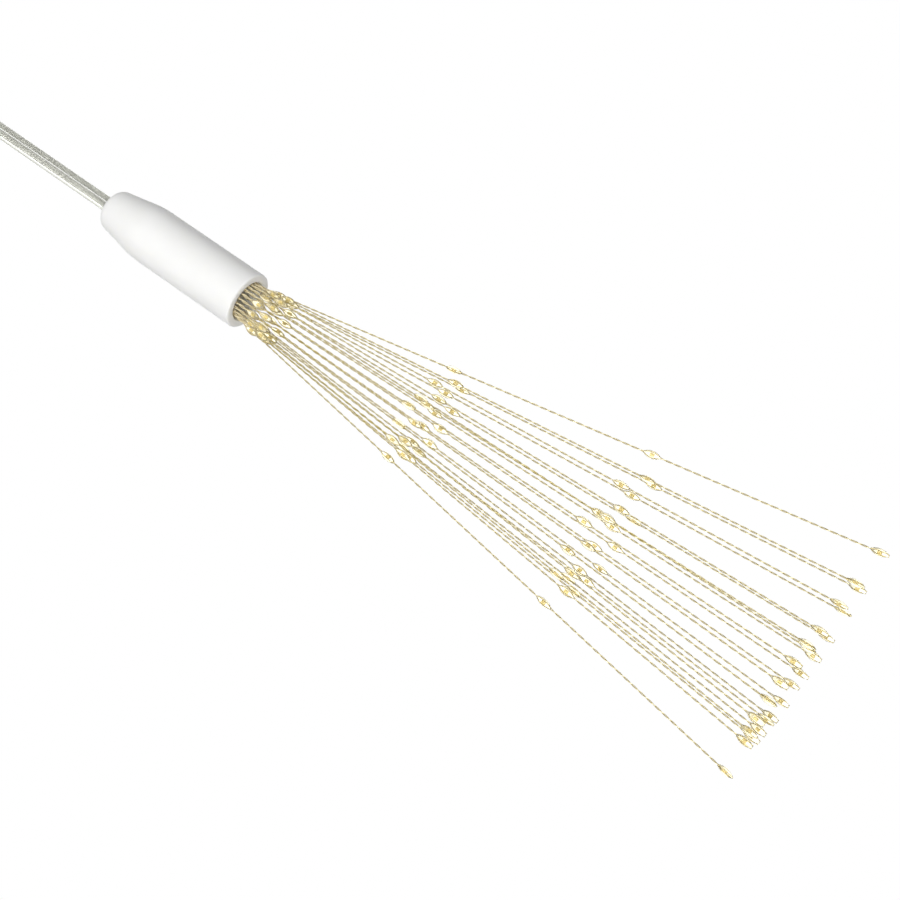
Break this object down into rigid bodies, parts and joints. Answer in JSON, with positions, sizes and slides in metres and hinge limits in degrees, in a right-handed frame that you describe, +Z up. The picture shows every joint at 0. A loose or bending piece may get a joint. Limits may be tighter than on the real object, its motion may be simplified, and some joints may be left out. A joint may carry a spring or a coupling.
{
  "type": "led firecracker light",
  "caption": "Hanging firecracker light: white tapered sleeve on a flat twin lead, with a spray of fine bendable wire strands that carry drop-shaped LEDs.",
  "frame": {"origin": "the point where the lead enters the sleeve, at the middle of the sleeve's rear face", "axes": "+Z up along the sleeve's axis and the lead, with the strands hanging towards -Z; -Y is the side that the picture is taken from"},
  "size_m": [0.0583, 0.0371, 0.2828],
  "materials": {
    "white_plastic": "satin",
    "clear_pvc": "clear",
    "champagne_wire": "enamelled wire",
    "led_epoxy": "clear cast",
    "tinned_copper": "tinned",
    "shrink_tube": "matte",
    "hot_glue": "cast",
    "nickel": "plated",
    "seal_rubber": "matte"
  },
  "bodies": {
    "sleeve": {"sleeve": "white_plastic", "lead_cord": "clear_pvc", "lead_tail": "clear_pvc", "bare_cores": "tinned_copper", "splice_ferrules": "tinned_copper", "shrink_tubes": "shrink_tube", "potting_plug": "hot_glue", "strand_roots": "champagne_wire", "plug_body": "white_plastic", "contact_pins": "nickel", "seal_ring": "seal_rubber"},
    "coupling_nut": {"coupling_nut": "white_plastic"},
    "strand_01": {"strand_wire_01": "champagne_wire", "led_drops_01": "led_epoxy"},
    "strand_02": {"strand_wire_02": "champagne_wire", "led_drops_02": "led_epoxy"},
    "strand_03": {"strand_wire_03": "champagne_wire", "led_drops_03": "led_epoxy"},
    "strand_04": {"strand_wire_04": "champagne_wire", "led_drops_04": "led_epoxy"},
    "strand_05": {"strand_wire_05": "champagne_wire", "led_drops_05": "led_epoxy"},
    "strand_06": {"strand_wire_06": "champagne_wire", "led_drops_06": "led_epoxy"},
    "strand_07": {"strand_wire_07": "champagne_wire", "led_drops_07": "led_epoxy"},
    "strand_08": {"strand_wire_08": "champagne_wire", "led_drops_08": "led_epoxy"},
    "strand_09": {"strand_wire_09": "champagne_wire", "led_drops_09": "led_epoxy"},
    "strand_10": {"strand_wire_10": "champagne_wire", "led_drops_10": "led_epoxy"},
    "strand_11": {"strand_wire_11": "champagne_wire", "led_drops_11": "led_epoxy"},
    "strand_12": {"strand_wire_12": "champagne_wire", "led_drops_12": "led_epoxy"},
    "strand_13": {"strand_wire_13": "champagne_wire", "led_drops_13": "led_epoxy"},
    "strand_14": {"strand_wire_14": "champagne_wire", "led_drops_14": "led_epoxy"},
    "strand_15": {"strand_wire_15": "champagne_wire", "led_drops_15": "led_epoxy"},
    "strand_16": {"strand_wire_16": "champagne_wire", "led_drops_16": "led_epoxy"},
    "strand_17": {"strand_wire_17": "champagne_wire", "led_drops_17": "led_epoxy"},
    "strand_18": {"strand_wire_18": "champagne_wire", "led_drops_18": "led_epoxy"},
    "strand_19": {"strand_wire_19": "champagne_wire", "led_drops_19": "led_epoxy"},
    "strand_20": {"strand_wire_20": "champagne_wire", "led_drops_20": "led_epoxy"},
    "strand_21": {"strand_wire_21": "champagne_wire", "led_drops_21": "led_epoxy"},
    "strand_22": {"strand_wire_22": "champagne_wire", "led_drops_22": "led_epoxy"},
    "strand_23": {"strand_wire_23": "champagne_wire", "led_drops_23": "led_epoxy"},
    "strand_24": {"strand_wire_24": "champagne_wire", "led_drops_24": "led_epoxy"}
  },
  "joints": [
    {"name": "coupling_nut_turn", "type": "hinge", "parent": "sleeve", "child": "coupling_nut", "pos_m": [0, 0, 0.066], "axis": [0, 0, 1], "continuous": true},
    {"name": "strand_01_bend", "type": "hinge", "parent": "sleeve", "child": "strand_01", "pos_m": [-0.0006, -0.00456, -0.0456], "axis": [-0.9914, 0.1305, 0], "range_deg": [-3.3, 75]},
    {"name": "strand_02_bend", "type": "hinge", "parent": "sleeve", "child": "strand_02", "pos_m": [-0.00176, -0.00425, -0.0456], "axis": [-0.9239, 0.3827, 0], "range_deg": [-3.1, 75]},
    {"name": "strand_03_bend", "type": "hinge", "parent": "sleeve", "child": "strand_03", "pos_m": [-0.0028, -0.00365, -0.0456], "axis": [-0.7934, 0.6088, 0], "range_deg": [-3.5, 74.5]},
    {"name": "strand_04_bend", "type": "hinge", "parent": "sleeve", "child": "strand_04", "pos_m": [-0.00365, -0.0028, -0.0456], "axis": [-0.6088, 0.7934, 0], "range_deg": [-3.3, 75]},
    {"name": "strand_05_bend", "type": "hinge", "parent": "sleeve", "child": "strand_05", "pos_m": [-0.00425, -0.00176, -0.0456], "axis": [-0.3827, 0.9239, 0], "range_deg": [-3.3, 75]},
    {"name": "strand_06_bend", "type": "hinge", "parent": "sleeve", "child": "strand_06", "pos_m": [-0.00456, -0.0006, -0.0456], "axis": [-0.1305, 0.9914, 0], "range_deg": [-5.7, 72.5]},
    {"name": "strand_07_bend", "type": "hinge", "parent": "sleeve", "child": "strand_07", "pos_m": [-0.00456, 0.0006, -0.0456], "axis": [0.1305, 0.9914, 0], "range_deg": [-2.4, 75.5]},
    {"name": "strand_08_bend", "type": "hinge", "parent": "sleeve", "child": "strand_08", "pos_m": [-0.00425, 0.00176, -0.0456], "axis": [0.3827, 0.9239, 0], "range_deg": [-2, 76]},
    {"name": "strand_09_bend", "type": "hinge", "parent": "sleeve", "child": "strand_09", "pos_m": [-0.00365, 0.0028, -0.0456], "axis": [0.6088, 0.7934, 0], "range_deg": [-1.6, 76.5]},
    {"name": "strand_10_bend", "type": "hinge", "parent": "sleeve", "child": "strand_10", "pos_m": [-0.0028, 0.00365, -0.0456], "axis": [0.7934, 0.6088, 0], "range_deg": [-2.5, 75.5]},
    {"name": "strand_11_bend", "type": "hinge", "parent": "sleeve", "child": "strand_11", "pos_m": [-0.00176, 0.00425, -0.0456], "axis": [0.9239, 0.3827, 0], "range_deg": [-2.2, 76]},
    {"name": "strand_12_bend", "type": "hinge", "parent": "sleeve", "child": "strand_12", "pos_m": [-0.0006, 0.00456, -0.0456], "axis": [0.9914, 0.1305, 0], "range_deg": [-0.1, 78]},
    {"name": "strand_13_bend", "type": "hinge", "parent": "sleeve", "child": "strand_13", "pos_m": [0.0006, 0.00456, -0.0456], "axis": [0.9914, -0.1305, 0], "range_deg": [-1.8, 76.5]},
    {"name": "strand_14_bend", "type": "hinge", "parent": "sleeve", "child": "strand_14", "pos_m": [0.00176, 0.00425, -0.0456], "axis": [0.9239, -0.3827, 0], "range_deg": [-2.9, 75]},
    {"name": "strand_15_bend", "type": "hinge", "parent": "sleeve", "child": "strand_15", "pos_m": [0.0028, 0.00365, -0.0456], "axis": [0.7934, -0.6088, 0], "range_deg": [-3.6, 74.5]},
    {"name": "strand_16_bend", "type": "hinge", "parent": "sleeve", "child": "strand_16", "pos_m": [0.00365, 0.0028, -0.0456], "axis": [0.6088, -0.7934, 0], "range_deg": [-5.1, 73]},
    {"name": "strand_17_bend", "type": "hinge", "parent": "sleeve", "child": "strand_17", "pos_m": [0.00425, 0.00176, -0.0456], "axis": [0.3827, -0.9239, 0], "range_deg": [-6.2, 72]},
    {"name": "strand_18_bend", "type": "hinge", "parent": "sleeve", "child": "strand_18", "pos_m": [0.00456, 0.0006, -0.0456], "axis": [0.1305, -0.9914, 0], "range_deg": [-8.7, 69.5]},
    {"name": "strand_19_bend", "type": "hinge", "parent": "sleeve", "child": "strand_19", "pos_m": [0.00456, -0.0006, -0.0456], "axis": [-0.1305, -0.9914, 0], "range_deg": [-5.5, 72.5]},
    {"name": "strand_20_bend", "type": "hinge", "parent": "sleeve", "child": "strand_20", "pos_m": [0.00425, -0.00176, -0.0456], "axis": [-0.3827, -0.9239, 0], "range_deg": [-3.8, 74]},
    {"name": "strand_21_bend", "type": "hinge", "parent": "sleeve", "child": "strand_21", "pos_m": [0.00365, -0.0028, -0.0456], "axis": [-0.6088, -0.7934, 0], "range_deg": [-1.8, 76.5]},
    {"name": "strand_22_bend", "type": "hinge", "parent": "sleeve", "child": "strand_22", "pos_m": [0.0028, -0.00365, -0.0456], "axis": [-0.7934, -0.6088, 0], "range_deg": [-0.7, 77.5]},
    {"name": "strand_23_bend", "type": "hinge", "parent": "sleeve", "child": "strand_23", "pos_m": [0.00176, -0.00425, -0.0456], "axis": [-0.9239, -0.3827, 0], "range_deg": [-3.5, 74.5]},
    {"name": "strand_24_bend", "type": "hinge", "parent": "sleeve", "child": "strand_24", "pos_m": [0.0006, -0.00456, -0.0456], "axis": [-0.9914, -0.1305, 0], "range_deg": [-4, 74]}
  ]
}
